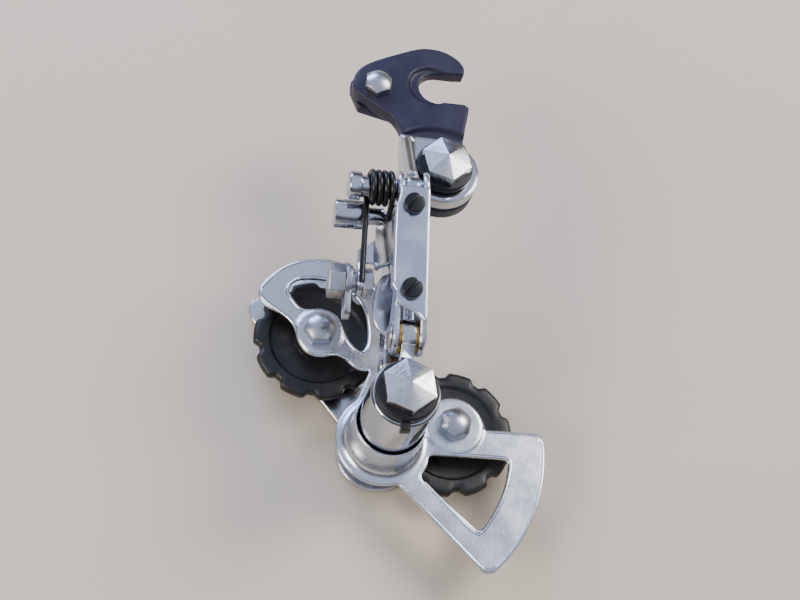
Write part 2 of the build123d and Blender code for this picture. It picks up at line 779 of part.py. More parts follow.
with BuildPart() as outer_cage_plate:
    with BuildSketch(Plane.XY.offset(outer_plate_top)) as plate_shape:
        with Locations(cage_pivot):
            Circle(flange_radius)
        with BuildLine():
            fan_start = about(cage_pivot, 0, 12.0)
            fan_top = about(cage_pivot, 28.8, 4.5)
            fan_corner = arc_point(fan_radius, 2.3)
            fan_tip = arc_point(fan_radius, -48.06)
            Spline(
                fan_start,
                about(cage_pivot, 10.0, 11.0),
                about(cage_pivot, 16.0, 12.3),
                about(cage_pivot, 22.0, 12.6),
                about(cage_pivot, 27.4, 8.6),
                fan_top,
            )
            Line(fan_top, about(cage_pivot, 42.6, 4.5))
            ThreePointArc(about(cage_pivot, 42.6, 4.5), about(cage_pivot, 44.6, 3.7), fan_corner)
            ThreePointArc(fan_corner, arc_point(fan_radius, -20.0), fan_tip)
            ThreePointArc(fan_tip, about(cage_pivot, 28.1, -34.66), about(cage_pivot, 25.84, -33.64))
            Line(about(cage_pivot, 25.84, -33.64), about(cage_pivot, 4.2, -12.1))
            Line(about(cage_pivot, 4.2, -12.1), fan_start)
        make_face()
        with BuildLine():
            Spline([about(cage_pivot, x, y) for x, y in loop_outer])
            Line(about(cage_pivot, *loop_outer[-1]), about(cage_pivot, 6.0, 11.3))
            Line(about(cage_pivot, 6.0, 11.3), about(cage_pivot, -7.0, 10.7))
            Line(about(cage_pivot, -7.0, 10.7), about(cage_pivot, *loop_outer[0]))
        make_face()
        with BuildLine():
            Spline([about(cage_pivot, x, y) for x, y in loop_inner], periodic=True)
        make_face(mode=Mode.SUBTRACT)
        # lightening window in the fan
        with BuildLine():
            window_corner = sqrt(window_radius**2 - window_top**2)
            inner_foot = arc_point(13.9, fan_angle)
            outer_foot = arc_point(window_radius, fan_angle + 1.5)
            Line(about(cage_pivot, window_left, window_top), about(cage_pivot, window_corner, window_top))
            ThreePointArc(
                about(cage_pivot, window_corner, window_top),
                arc_point(window_radius, -25.0),
                outer_foot,
            )
            Line(outer_foot, inner_foot)
            ThreePointArc(
                inner_foot,
                arc_point(14.0, -28.0),
                about(cage_pivot, window_left, window_top),
            )
        opening = make_face(mode=Mode.PRIVATE)
        add(opening.faces()[0].fillet_2d(1.6, opening.vertices()), mode=Mode.SUBTRACT)
    extrude(amount=-sheet)
    # cup round the barrel, with a rounded foot
    with BuildSketch(Plane(origin=(*cage_pivot, 0), x_dir=(1, 0, 0), z_dir=(0, -1, 0))):
        with BuildLine():
            Line((0, outer_plate_top - sheet), (flange_radius - 0.2, outer_plate_top - sheet))
            Line((flange_radius - 0.2, outer_plate_top - sheet), (flange_radius - 0.2, outer_plate_top))
            Line((flange_radius - 0.2, outer_plate_top), (cup_radius + 2.6, outer_plate_top))
            ThreePointArc(
                (cup_radius + 2.6, outer_plate_top),
                (cup_radius + 0.76, outer_plate_top + 0.76),
                (cup_radius, outer_plate_top + 2.6),
            )
            Line((cup_radius, outer_plate_top + 2.6), (cup_radius, cup_rim))
            Line((cup_radius, cup_rim), (barrel_radius + 0.35, cup_rim))
            Line((barrel_radius + 0.35, cup_rim), (barrel_radius + 0.35, outer_plate_top + 1.6))
            Line((barrel_radius + 0.35, outer_plate_top + 1.6), (0, outer_plate_top + 1.6))
            Line((0, outer_plate_top + 1.6), (0, outer_plate_top - sheet))
        make_face()
    revolve(axis=Axis((cage_pivot[0], cage_pivot[1], 0), (0, 0, 1)))
    # raised seats for the pulley bolts
    with BuildSketch(Plane.XY.offset(outer_plate_top)):
        with Locations(guide_centre):
            Circle(8.2)
        with Locations(tension_centre):
            Circle(6.7)
    extrude(amount=0.5, taper=30)
    with Locations((guide_centre[0], guide_centre[1], 0), (tension_centre[0], tension_centre[1], 0)):
        Hole(2.5 + fit)
    with Locations((cage_pivot[0], cage_pivot[1], 0)):
        Hole(pivot_shank_radius + fit)
outer_cage_plate.part.label = "outer_cage_plate"
export_step(outer_cage_plate.part, "parts/outer_cage_plate.step")

guard_outer = (
    (-27.5, 28.5),
    (-30.2, 33.5),
    (-35.0, 36.2),
    (-37.3, 40.0),
    (-36.8, 43.6),
    (-32.8, 45.2),
    (-28.0, 48.6),
    (-22.0, 52.0),
    (-14.0, 52.4),
    (-5.0, 49.0),
    (0.5, 43.0),
    (2.5, 34.0),
    (1.0, 24.0),
)
with BuildPart() as inner_cage_plate:
    with BuildSketch(Plane.XY.offset(inner_plate_top)):
        with Locations(cage_pivot):
            Circle(11.0)
        with Locations(guide_centre):
            Circle(9.5)
        with Locations(tension_centre):
            Circle(9.0)
        with BuildLine():
            Polyline(
                about(cage_pivot, 2.0, 11.0),
                about(cage_pivot, -9.0, 6.0),
                about(tension_centre, -8.0, -4.0),
                about(tension_centre, 5.0, 7.5),
                close=True,
            )
        make_face()
        with BuildLine():
            Polyline(
                about(cage_pivot, 0.0, 10.8),
                about(guide_centre, 0.0, 9.5),
                about(guide_centre, -3.0, -9.0),
                about(cage_pivot, 0.0, -11.0),
                close=True,
            )
        make_face()
        with BuildLine():
            Spline([about(cage_pivot, x, y) for x, y in guard_outer])
            Line(about(cage_pivot, *guard_outer[-1]), about(cage_pivot, -4.0, 9.0))
            Line(about(cage_pivot, -4.0, 9.0), about(cage_pivot, *guard_outer[0]))
        make_face()
        with BuildLine():
            Spline([about(cage_pivot, x, y) for x, y in loop_inner], periodic=True)
        make_face(mode=Mode.SUBTRACT)
        with Locations(guide_centre, tension_centre):
            Circle(2.5 + fit, mode=Mode.SUBTRACT)
    extrude(amount=-sheet)
inner_cage_plate.part.label = "inner_cage_plate"
export_step(inner_cage_plate.part, "parts/inner_cage_plate.step")

# ================================================================ pulleys
root_radius = 16.6
bush_radius = 4.0
pulley_pitch = 360 / pulley_teeth


def pulley(centre, phase):
    """Toothed wheel with dished faces, added to the current part."""
    bottom = pulley_middle - pulley_width / 2
    with BuildSketch(Plane.XY.offset(bottom)) as disc:
        with Locations(centre):
            Circle(root_radius)
    extrude(disc.sketch, amount=pulley_width)
    with BuildSketch(Plane.XY.offset(bottom)) as teeth:
        with Locations(Location((centre[0], centre[1], 0), (0, 0, phase))):
            with PolarLocations(root_radius, pulley_teeth):
                Trapezoid(9.0, 3.4, 68, rotation=-90)
        with Locations(centre):
            Circle(pulley_radius, mode=Mode.INTERSECT)
    extrude(teeth.sketch, amount=pulley_width)
    # dished faces inside the rim
    for height, way in ((bottom + pulley_width, -0.8), (bottom, 0.8)):
        with BuildSketch(Plane.XY.offset(height)) as dish:
            with Locations(centre):
                Circle(13.6)
                Circle(6.2, mode=Mode.SUBTRACT)
        extrude(dish.sketch, amount=way, taper=20, mode=Mode.SUBTRACT)
    # hub that keeps the pulley in the middle of the cage
    with BuildSketch(Plane.XY.offset(pulley_middle - hub_width / 2)) as hub:
        with Locations(centre):
            Circle(6.2)
    extrude(hub.sketch, amount=hub_width)
    with BuildSketch(Plane.XY.offset(pulley_middle - hub_width / 2)) as bore:
        with Locations(centre):
            Circle(bush_radius + run)
    extrude(bore.sketch, amount=hub_width, mode=Mode.SUBTRACT)


with BuildPart() as guide_pulley:
    pulley(guide_centre, 78.4)
guide_pulley.part.label = "guide_pulley"
export_step(guide_pulley.part, "parts/guide_pulley.step")

with BuildPart() as tension_pulley:
    pulley(tension_centre, 176.3)
tension_pulley.part.label = "tension_pulley"
export_step(tension_pulley.part, "parts/tension_pulley.step")


def pulley_bush(centre):
    """Steel sleeve between the cage plates that a pulley turns on, added to the current part."""
    with BuildSketch(Plane.XY.offset(inner_plate_top + 0.05)) as sleeve:
        with Locations(centre):
            Circle(bush_radius)
            Circle(2.5 + fit, mode=Mode.SUBTRACT)
    extrude(sleeve.sketch, amount=plate_gap - 0.1)


with BuildPart() as guide_bush:
    pulley_bush(guide_centre)
guide_bush.part.label = "guide_bush"
export_step(guide_bush.part, "parts/guide_bush.step")

with BuildPart() as tension_bush:
    pulley_bush(tension_centre)
tension_bush.part.label = "tension_bush"
export_step(tension_bush.part, "parts/tension_bush.step")


def pulley_bolt(centre, turn):
    """Domed hexagon bolt through both cage plates, added to the current part."""
    seat = outer_plate_top + 0.55
    with BuildSketch(Plane.XY.offset(seat)) as head:
        with Locations(centre):
            RegularPolygon(8.0 / sqrt(3), 6, rotation=turn)
    extrude(head.sketch, amount=6)
    with Locations((*centre, seat + 4.1 - 6.8)):
        Sphere(6.8, mode=Mode.INTERSECT)
    with BuildSketch(Plane.XY.offset(inner_plate_top - sheet - 1.2)) as shank:
        with Locations(centre):
            Circle(2.5)
    extrude(shank.sketch, amount=seat - inner_plate_top + sheet + 1.3)


with BuildPart() as guide_pulley_bolt:
    pulley_bolt(guide_centre, 18)
guide_pulley_bolt.part.label = "guide_pulley_bolt"
export_step(guide_pulley_bolt.part, "parts/guide_pulley_bolt.step")

with BuildPart() as tension_pulley_bolt:
    pulley_bolt(tension_centre, 5)
tension_pulley_bolt.part.label = "tension_pulley_bolt"
export_step(tension_pulley_bolt.part, "parts/tension_pulley_bolt.step")

# ================================================================ springs
wire = 1.5
coil_radius = 4.0
coil_pitch = 1.62
coil_turns = 3.75
coil_left = -21.1


def wire_leg(points, radius):
    """Round wire bent at the given points, with a ball at its start, added to the current part."""
    with BuildLine() as path:
        FilletPolyline(*points, radius=1.5)
    with BuildSketch(Plane(origin=path.line @ 0, z_dir=path.line % 0)) as section:
        Circle(radius)
    sweep(section.sketch, path=path.line)
    with Locations(points[0]):
        Sphere(radius + 0.02)


with BuildPart() as return_spring:
    with BuildLine() as coil:
        turns = Helix(
            coil_pitch, coil_pitch * coil_turns, coil_radius, direction=(1, 0, 0), mode=Mode.PRIVATE
        )
        add(Pos(coil_left, upper_pin[0], upper_pin[1]) * Rot(180, 0, 0) * turns)
    with BuildSketch(Plane(origin=coil.line @ 0, z_dir=coil.line % 0)):
        Circle(wire / 2)
    sweep(path=coil.line, is_frenet=True)
    # long leg down to the cable anchor's lug
    wire_leg(
        (
            tuple(coil.line @ 0),
            (coil_left, stop_at[0], upper_pin[1] - coil_radius + 0.7),
            (coil_left - 0.75, hanger_pivot[1] - 37.0, 9.9),
        ),
        wire / 2,
    )
    # short leg behind the cable stop's neck
    coil_right = coil_left + coil_pitch * coil_turns
    wire_leg(
        (
            tuple(coil.line @ 1),
            (coil_right, stop_at[0] - stop_spigot - wire / 2 - 0.1, 9.0),
            (coil_right, stop_at[0] - stop_spigot - wire / 2 - 0.1, -3.4),
        ),
        wire / 2,
    )
return_spring.part.label = "return_spring"
export_step(return_spring.part, "parts/return_spring.step")

cage_wire = 1.8
cage_coil_radius = 5.7
cage_coil_bottom = barrel_end + 1.3
cage_coil_height = 24.2
with BuildPart() as cage_spring:
    with BuildLine(Plane(origin=(cage_pivot[0], cage_pivot[1], cage_coil_bottom))) as cage_coil:
        Helix(2.42, cage_coil_height, cage_coil_radius)
    with BuildSketch(Plane(origin=cage_coil.line @ 0, z_dir=cage_coil.line % 0)):
        Circle(cage_wire / 2)
    sweep(path=cage_coil.line, is_frenet=True)
cage_spring.part.label = "cage_spring"
export_step(cage_spring.part, "parts/cage_spring.step")
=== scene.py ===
"""Looks of the rear derailleur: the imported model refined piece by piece, its materials, light and camera."""
import json
import math

import bmesh
import bpy
from mathutils import Matrix, Vector


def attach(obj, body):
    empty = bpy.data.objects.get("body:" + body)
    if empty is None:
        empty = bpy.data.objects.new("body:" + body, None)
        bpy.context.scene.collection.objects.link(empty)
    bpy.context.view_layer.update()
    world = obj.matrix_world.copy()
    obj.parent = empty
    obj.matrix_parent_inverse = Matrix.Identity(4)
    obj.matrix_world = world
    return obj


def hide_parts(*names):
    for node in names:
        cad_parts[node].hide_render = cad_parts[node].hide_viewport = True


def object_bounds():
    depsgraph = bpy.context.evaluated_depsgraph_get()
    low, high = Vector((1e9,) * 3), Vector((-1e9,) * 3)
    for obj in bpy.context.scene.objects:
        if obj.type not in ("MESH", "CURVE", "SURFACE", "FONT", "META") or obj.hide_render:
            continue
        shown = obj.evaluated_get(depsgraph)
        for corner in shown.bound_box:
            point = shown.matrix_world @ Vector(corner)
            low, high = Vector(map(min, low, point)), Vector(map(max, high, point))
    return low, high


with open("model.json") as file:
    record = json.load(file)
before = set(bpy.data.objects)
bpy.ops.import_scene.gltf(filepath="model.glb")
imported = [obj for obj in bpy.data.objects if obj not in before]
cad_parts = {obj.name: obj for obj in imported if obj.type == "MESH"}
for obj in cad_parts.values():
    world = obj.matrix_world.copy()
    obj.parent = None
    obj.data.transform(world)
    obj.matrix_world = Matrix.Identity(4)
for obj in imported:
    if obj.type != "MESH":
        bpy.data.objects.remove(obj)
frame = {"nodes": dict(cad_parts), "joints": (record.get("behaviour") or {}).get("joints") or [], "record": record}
cad_low, cad_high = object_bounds()
nodes = frame["nodes"]
body_of = {n: b for b, names in frame["record"]["behaviour"]["bodies"].items() for n in names}
MM = 0.001

# where each moving body turns, in mm
pivot = {joint["child"]: [c / MM for c in joint["pos_m"]] for joint in frame["joints"]}
link_top = pivot["upper_body"]
link_foot = pivot["outer_link_body"]
cage_pivot = pivot["cage_body"]

# rounded edges, in mm, and the angles that count as an edge
edge_width = 0.22
bevel_segments = 3
edge_angle, crease_angle = 28, 35
facet_angle = 7  # the pivot bolts' shallow facets stay sharp

# beads that finish the pressed edges, in mm
web_bead, plate_bead, ear_bead = 0.42, 0.5, 1.72
web_rim_height = 5.62  # above the line through the link's pins
plate_rim_z = -24.98  # just under the outer cage plate's top
ear_x = -10.0


# ---------------------------------------------------------------- material kit
class Tree:
    """A material's node tree with short calls for making and joining nodes."""

    def __init__(self, name):
        self.mat = bpy.data.materials.new(name)
        self.mat.use_nodes = True
        self.tree = self.mat.node_tree
        self.bsdf = self.tree.nodes["Principled BSDF"]
        self.coord = self.tree.nodes.new("ShaderNodeTexCoord").outputs["Object"]

    def add(self, kind, **settings):
        node = self.tree.nodes.new("ShaderNode" + kind)
        for key, value in settings.items():
            setattr(node, key, value)
        return node

    def put(self, socket, value):
        if hasattr(value, "is_linked"):
            self.tree.links.new(value, socket)
        else:
            socket.default_value = value

    def scaled(self, scale, turn=(0, 0, 0)):
        node = self.add("Mapping")
        self.put(node.inputs["Vector"], self.coord)
        node.inputs["Scale"].default_value = scale
        node.inputs["Rotation"].default_value = turn
        return node.outputs[0]

    def noise(self, scale, detail=3.0, rough=0.5, coord=None):
        node = self.add("TexNoise")
        self.put(node.inputs["Vector"], coord or self.coord)
        node.inputs["Scale"].default_value = scale
        node.inputs["Detail"].default_value = detail
        node.inputs["Roughness"].default_value = rough
        return node.outputs["Fac"]

    def cells(self, scale, coord=None):
        node = self.add("TexVoronoi", feature="F1")
        self.put(node.inputs["Vector"], coord or self.coord)
        node.inputs["Scale"].default_value = scale
        return node.outputs["Distance"]

    def span(self, value, a, b, lo=0.0, hi=1.0):
        node = self.add("MapRange", clamp=True, interpolation_type="SMOOTHSTEP")
        self.put(node.inputs["Value"], value)
        for key, number in (("From Min", a), ("From Max", b), ("To Min", lo), ("To Max", hi)):
            node.inputs[key].default_value = number
        return node.outputs[0]

    def math(self, operation, a, b=0.0):
        node = self.add("Math", operation=operation)
        self.put(node.inputs[0], a)
        self.put(node.inputs[1], b)
        return node.outputs[0]

    def mix(self, factor, a, b):
        node = self.add("Mix", data_type="RGBA")
        self.put(node.inputs["Factor"], factor)
        self.put(node.inputs["A"], a)
        self.put(node.inputs["B"], b)
        return node.outputs["Result"]

    def bump(self, height, distance, under):
        node = self.add("Bump")
        self.put(node.inputs["Height"], height)
        node.inputs["Distance"].default_value = distance
        node.inputs["Strength"].default_value = 1.0
        self.put(node.inputs["Normal"], under)
        return node.outputs[0]

    def rounded(self, radius):
        """Normal that rounds every edge by a radius."""
        bevel = self.add("Bevel", samples=4)
        bevel.inputs["Radius"].default_value = radius
        return bevel.outputs[0]

    def edges(self, radius):
        """1 on edges, 0 on flat faces: worn edges on paint, a painted highlight on chrome."""
        bevel = self.add("Bevel", samples=6)
        bevel.inputs["Radius"].default_value = radius
        flat = self.add("NewGeometry")
        dot = self.add("VectorMath", operation="DOT_PRODUCT")
        self.put(dot.inputs[0], bevel.outputs[0])
        self.put(dot.inputs[1], flat.outputs["Normal"])
        return self.span(dot.outputs["Value"], 0.995, 0.90)

    def finish(self, color, metallic, roughness, normal=None, **rest):
        self.put(self.bsdf.inputs["Base Color"], color)
        self.put(self.bsdf.inputs["Metallic"], metallic)
        self.put(self.bsdf.inputs["Roughness"], roughness)
        if normal is not None:
            self.put(self.bsdf.inputs["Normal"], normal)
        for key, value in rest.items():
            self.put(self.bsdf.inputs[key.replace("_", " ")], value)
        return self.mat


def rgb(code):
    """Linear colour from a six-digit hex code."""
    parts = [int(code[i : i + 2], 16) / 255 for i in (0, 2, 4)]
    return tuple(((c + 0.055) / 1.055) ** 2.4 if c > 0.04 else c / 12.92 for c in parts) + (1.0,)


def scratches(tree, scale, turn):
    """Thin marks running one way, 0 to 1."""
    lines = tree.noise(1.0, 2.0, 0.6, tree.scaled((scale, scale * 0.03, scale), turn))
    return tree.span(lines, 0.64, 0.74)


def chrome(name, low, high, wave=0.4, grain=0.1, pits=0.0, tint="c3c6cd", round_=0.0003, rim=0.0):
    """Plated steel: rounded edges, smudges, hairlines, pits where the plate has gone, and with rim a painted
    highlight on the edges.
    """
    t = Tree(name)
    smudge = t.noise(150, 4, 0.6)
    fine = t.noise(2300, 3, 0.6)
    marks = t.math("MAXIMUM", scratches(t, 6500, (0, 0, 0.5)), scratches(t, 7400, (0.3, 0.2, -0.9)))
    rough = t.math("ADD", t.span(smudge, 0.35, 0.7, low, high), t.math("MULTIPLY", marks, 0.05))
    color = t.mix(t.span(fine, 0.5, 0.8, 0.0, 0.3), rgb(tint), rgb("8d8b88"))
    height = t.math("ADD", t.math("MULTIPLY", marks, -0.04), t.math("MULTIPLY", smudge, wave))
    height = t.math("ADD", height, t.math("MULTIPLY", fine, grain))
    if pits:
        chosen = t.span(t.noise(140, 2), 0.50, 0.62)
        pit = t.math("MULTIPLY", t.span(t.cells(620), 0.16, 0.07), t.math("MULTIPLY", chosen, pits))
        color = t.mix(pit, color, rgb("4c4038"))
        rough = t.math("ADD", rough, t.math("MULTIPLY", pit, 0.3))
        height = t.math("ADD", height, t.math("MULTIPLY", pit, -0.5))
    if rim:
        # painted highlight: the edges get a near-white base colour and lower roughness, so they show as bright
        # lines
        edge_wear_and_highlight = t.edges(rim)
        color = t.mix(edge_wear_and_highlight, color, rgb("fafbff"))
        rough = t.math("SUBTRACT", rough, t.math("MULTIPLY", edge_wear_and_highlight, low * 0.6))
    return t.finish(color, 1.0, rough, t.bump(height, 0.00005, under=t.rounded(round_)))


def spun(name, centre, low=0.2, high=0.33):
    """Turned steel: fine rings about a pivot along Z, which streak the light out from the centre."""
    t = Tree(name)
    away = t.add("VectorMath", operation="SUBTRACT")
    t.put(away.inputs[0], t.coord)
    away.inputs[1].default_value = centre
    flat = t.add("VectorMath", operation="MULTIPLY")
    t.put(flat.inputs[0], away.outputs[0])
    flat.inputs[1].default_value = (1, 1, 0)
    reach = t.add("VectorMath", operation="LENGTH")
    t.put(reach.inputs[0], flat.outputs[0])
    ring = t.add("TexNoise", noise_dimensions="1D")
    t.put(ring.inputs["W"], reach.outputs["Value"])
    ring.inputs["Scale"].default_value = 7000
    ring.inputs["Detail"].default_value = 2
    round_ = t.add("VectorMath", operation="CROSS_PRODUCT")
    t.put(round_.inputs[0], flat.outputs[0])
    round_.inputs[1].default_value = (0, 0, 1)
    world = t.add("VectorTransform", vector_type="VECTOR", convert_from="OBJECT", convert_to="WORLD")
    t.put(world.inputs[0], round_.outputs[0])
    smudge = t.noise(420, 4, 0.65)
    both = t.math("ADD", t.math("MULTIPLY", ring.outputs[0], 0.4), t.math("MULTIPLY", smudge, 0.6))
    rough = t.span(both, 0.3, 0.7, low, high)
    color = t.mix(t.span(smudge, 0.4, 0.75, 0.0, 0.5), rgb("cfd0d3"), rgb("98979a"))
    normal = t.bump(ring.outputs[0], 0.00001, under=t.rounded(0.00025))
    return t.finish(color, 1.0, rough, normal, Anisotropic=0.8, Tangent=world.outputs[0])


def paint(name, color, worn, edge, low=0.3, high=0.48, wear=0.5, grime=0.12):
    """Satin enamel with rubbed edges, dust and small chips."""
    t = Tree(name)
    broad = t.noise(120, 4, 0.6)
    fine = t.noise(1300, 3, 0.6)
    edge_wear_and_highlight = t.math("MULTIPLY", t.edges(edge), t.span(t.noise(420, 4, 0.7), 0.66 - 0.25 * wear, 0.76, 0.0, 1.0))
    chip = t.span(t.cells(330, t.scaled((1, 1.3, 1))), 0.04, 0.02)
    bare = t.math("MINIMUM", t.math("ADD", edge_wear_and_highlight, chip), 1.0)
    base = t.mix(t.span(broad, 0.4, 0.8, 0.0, grime), rgb(color), rgb("3c3b42"))
    full = t.mix(t.math("MULTIPLY", bare, 0.6), base, rgb(worn))
    rough = t.math("ADD", t.span(broad, 0.3, 0.7, low, high), t.math("MULTIPLY", fine, 0.06))
    height = t.math("ADD", t.math("MULTIPLY", fine, 0.3), t.math("MULTIPLY", bare, -0.4))
    normal = t.bump(height, 0.00004, under=t.rounded(edge))
    return t.finish(full, t.math("MULTIPLY", bare, 0.6), rough, normal, Specular_IOR_Level=0.45)


def plastic(name, color):
    """Moulded black plastic, slightly greasy, with patches of dust."""
    t = Tree(name)
    broad = t.noise(150, 4, 0.6)
    fine = t.noise(1500, 3, 0.6)
    dust = t.span(t.noise(260, 5, 0.7), 0.5, 0.8, 0.0, 0.28)
    base = t.mix(dust, rgb(color), rgb("4d4740"))
    rough = t.math("ADD", t.span(broad, 0.3, 0.7, 0.3, 0.5), t.math("MULTIPLY", dust, 0.2))
    height = t.math("ADD", fine, t.math("MULTIPLY", broad, 1.5))
    return t.finish(base, 0.0, rough, t.bump(height, 0.00006, under=t.rounded(0.0004)))


def metal(name, color, dark, low, high, stain=0.3, bump=0.5):
    """Plain or zinc-plated metal with a worn, cloudy sheen."""
    t = Tree(name)
    cloud = t.noise(380, 5, 0.65)
    fine = t.noise(2400, 2, 0.5)
    color_ = t.mix(t.span(cloud, 0.4, 0.75, 0.0, stain), rgb(color), rgb(dark))
    rough = t.span(cloud, 0.3, 0.7, low, high)
    marks = scratches(t, 6000, (0.2, 0, 0.7))
    height = t.math("ADD", t.math("MULTIPLY", fine, bump), t.math("MULTIPLY", marks, -0.3))
    return t.finish(color_, 1.0, rough, t.bump(height, 0.00003, under=t.rounded(0.0002)))


# rim: width of the edges that get a painted highlight, a near-white base colour
pressed_edges = {"round_": 0.0009, "rim": 0.0009}
MATERIALS = {
    "chrome": chrome("chrome_plate", 0.06, 0.14, wave=0.35, grain=0.05, pits=0.15),
    "cage_chrome": chrome(
        "cage_plate_chrome", 0.20, 0.32, wave=0.9, grain=0.4, pits=0.6, tint="cdd0d8", **pressed_edges
    ),
    "zinc": metal("zinc_steel", "b4b5ba", "77756f", 0.22, 0.4),
    "black_claw": paint("claw_enamel", "17142f", "7d7a78", 0.0008),
    "black_washer": paint("black_washer", "08080a", "6d6a66", 0.0003, wear=0.2),
    "black_screw": paint("black_screw", "08080a", "6d6a66", 0.0002, low=0.22, high=0.35, wear=0.2),
    "spring_black": paint("spring_black", "09090b", "6d6a66", 0.0002, low=0.2, high=0.34, wear=0.1),
    "brass": metal("brass_washer", "b08a45", "6d5226", 0.2, 0.4),
    "black_plastic": plastic("pulley_plastic", "131211"),
}
pressed = chrome("pressed_chrome", 0.13, 0.28, wave=0.5, grain=0.4, pits=0.2, tint="c6cad8", **pressed_edges)
rounded_chrome = chrome("rounded_chrome", 0.07, 0.16, wave=0.4, grain=0.1, pits=0.2, round_=0.0012)
SPECIAL = {
    "hanger_bolt": spun("hanger_bolt_spun", Vector(pivot["claw_body"]) * MM),
    "cage_pivot_bolt": spun("cage_bolt_spun", Vector(cage_pivot) * MM),
    "outer_link": pressed,
    "inner_link": pressed,
    "upper_knuckle": rounded_chrome,
}
slot_of = {row["node"]: row["material_slot"] for row in frame["record"]["subparts"]}


# ---------------------------------------------------------------- mesh kit
def put(name, mesh, body, material, slot, *stands_for):
    """Makes a piece of a mesh, gives it its material and fixes it to a body."""
    piece = bpy.data.objects.new(name, mesh)
    bpy.context.scene.collection.objects.link(piece)
    piece.data.materials.clear()
    piece.data.materials.append(material)
    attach(piece, body)
    if stands_for:
        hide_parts(*stands_for)
    return piece


def smooth(mesh, angle):
    """Smooth shading with sharp edges kept above an angle."""
    bm = bmesh.new()
    bm.from_mesh(mesh)
    for face in bm.faces:
        face.smooth = True
    for edge in bm.edges:
        edge.smooth = not (edge.is_manifold and edge.calc_face_angle(0) > math.radians(angle))
    bm.to_mesh(mesh)
    bm.free()


def refined(node, width, angle, crease, material):
    """A copy of a CAD node with clean faces and rounded edges, which stands for it."""
    bm = bmesh.new()
    bm.from_mesh(nodes[node].data)
    bmesh.ops.remove_doubles(bm, verts=bm.verts, dist=2e-6)
    bmesh.ops.dissolve_limit(bm, angle_limit=math.radians(0.6), verts=bm.verts, edges=bm.edges)
    sharp = [e for e in bm.edges if e.is_manifold and e.calc_face_angle(0) > math.radians(angle)]
    if sharp and width:
        bmesh.ops.bevel(
            bm,
            geom=sharp,
            offset=width * MM,
            offset_type="OFFSET",
            segments=bevel_segments,
            profile=0.5,
            affect="EDGES",
            clamp_overlap=True,
            harden_normals=False,
        )
    mesh = bpy.data.meshes.new(node + "_fine")
    bm.to_mesh(mesh)
    bm.free()
    smooth(mesh, crease)
    return put(node + "_fine", mesh, body_of[node], material or MATERIALS[slot_of[node]], slot_of[node], node)


def softened(piece, voxel, rounds):
    """Rounds every edge of a thick pressed or cast piece, as tumbling and polishing does."""
    cells = piece.modifiers.new("cells", "REMESH")
    cells.mode = "VOXEL"
    cells.voxel_size = voxel * MM
    cells.use_smooth_shade = True
    relax = piece.modifiers.new("relax", "SMOOTH")
    relax.factor = 0.5
    relax.iterations = rounds


# voxel in mm and smoothing rounds of each softened piece
SOFT = {
    "claw_hanger": (0.3, 12),
    "upper_knuckle": (0.22, 14),
    "outer_link": (0.2, 8),
    "inner_link": (0.2, 5),
    "outer_cage_plate": (0.32, 6),
}
# edge widths that differ from the usual one
WIDTH = {
    "inner_cage_plate": 0.35,
    "lower_knuckle": 0.3,
    "hanger_bolt": 0.1,
    "cage_pivot_bolt": 0.1,
    "cage_spring": 0,
    "return_spring": 0,
}
for node in sorted(nodes):
    if node in ("guide_pulley", "tension_pulley"):
        continue
    bolt = node in ("hanger_bolt", "cage_pivot_bolt")
    piece = refined(
        node,
        width=0 if node in SOFT else WIDTH.get(node, edge_width),
        angle=facet_angle if bolt else edge_angle,
        crease=facet_angle if bolt else crease_angle,
        material=SPECIAL.get(node),
    )
    if node in SOFT:
        softened(piece, *SOFT[node])


def rolled_rim(name, points, radius, body, material, slot, closed=False):
    """Half-sunk round bead along a path, as a pressed edge that's been turned over."""
    curve = bpy.data.curves.new(name, "CURVE")
    curve.dimensions = "3D"
    curve.bevel_depth = radius * MM
    curve.bevel_resolution = 3
    curve.use_fill_caps = True
    line = curve.splines.new("NURBS")
    line.points.add(len(points) - 1)
    for point, place in zip(line.points, points):
        point.co = (place[0] * MM, place[1] * MM, place[2] * MM, 1)
    line.use_cyclic_u = closed
    line.use_endpoint_u = not closed
    line.order_u = 3
    line.resolution_u = 8
    holder = bpy.data.objects.new(name + "_curve", curve)
    bpy.context.scene.collection.objects.link(holder)
    mesh = bpy.data.meshes.new_from_object(holder)
    bpy.data.objects.remove(holder)
    mesh.name = name
    for polygon in mesh.polygons:
        polygon.use_smooth = True
    return put(name, mesh, body, material, slot)


def on_web(x, along):
    """Point on the edge of the outer link's web, at a distance along the link from its upper pin."""
    lean = math.atan2(link_top[2] - link_foot[2], link_top[1] - link_foot[1])
    return (
        x,
        link_top[1] + along * math.cos(lean) - web_rim_height * math.sin(lean),
        link_top[2] + along * math.sin(lean) + web_rim_height * math.cos(lean),
    )


# painted highlight: a paler, glossier chrome for the edge beads, so the pressed edges show as bright lines
edge_highlight_chrome = chrome("rim_chrome", 0.06, 0.16, wave=0.2, grain=0.1, tint="dfe2ea")
web_edges = {
    "web_rim_right": [(-6.45, along) for along in (-1.5, -6, -12, -18, -24, -30, -35.8)],
    "web_rim_left": [(-13.5, -1.5), (-13.6, -4), (-14.5, -7), (-14.55, -12), (-14.55, -20), (-14.5, -27)],
    "web_rim_lower": [(-6.6, -36.3), (-7.4, -35.6), (-8.6, -34.4), (-10.5, -33.4), (-13.2, -32.2)],
}
for name, spots in web_edges.items():
    rolled_rim(name, [on_web(*spot) for spot in spots], web_bead, "outer_link_body", edge_highlight_chrome, "chrome")

